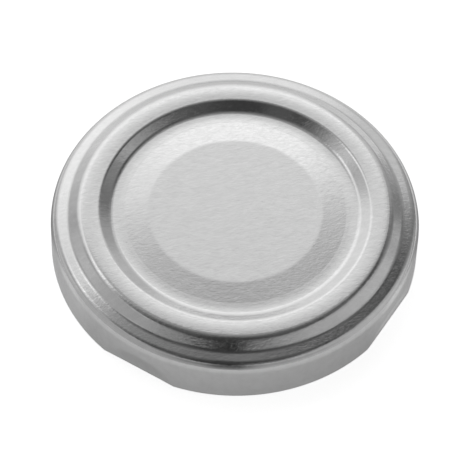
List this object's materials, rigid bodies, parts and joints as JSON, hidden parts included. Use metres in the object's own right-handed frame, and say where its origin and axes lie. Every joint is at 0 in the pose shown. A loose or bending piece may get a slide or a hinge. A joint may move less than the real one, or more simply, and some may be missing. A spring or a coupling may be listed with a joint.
{
  "type": "twist-off jar lid",
  "caption": "Stamped tinplate twist-off jar lid with a raised ring bead, a safety button panel, a curled rim with inward lugs, and a bonded sealing ring.",
  "frame": {"origin": "centre of the rim, on the plane that the curled rim rests on", "axes": "+Z is the axis of the cap, out of its top; the lugs lie on +X, +Y, -X and -Y"},
  "size_m": [0.062, 0.062, 0.0106],
  "materials": {
    "tinplate": "bright tinned steel sheet with a fine rolled grain, lacquered inside",
    "sealing_compound": "satin off-white sealing compound"
  },
  "bodies": {
    "root": {"cap_shell": "tinplate", "sealing_ring": "sealing_compound"}
  },
  "joints": []
}
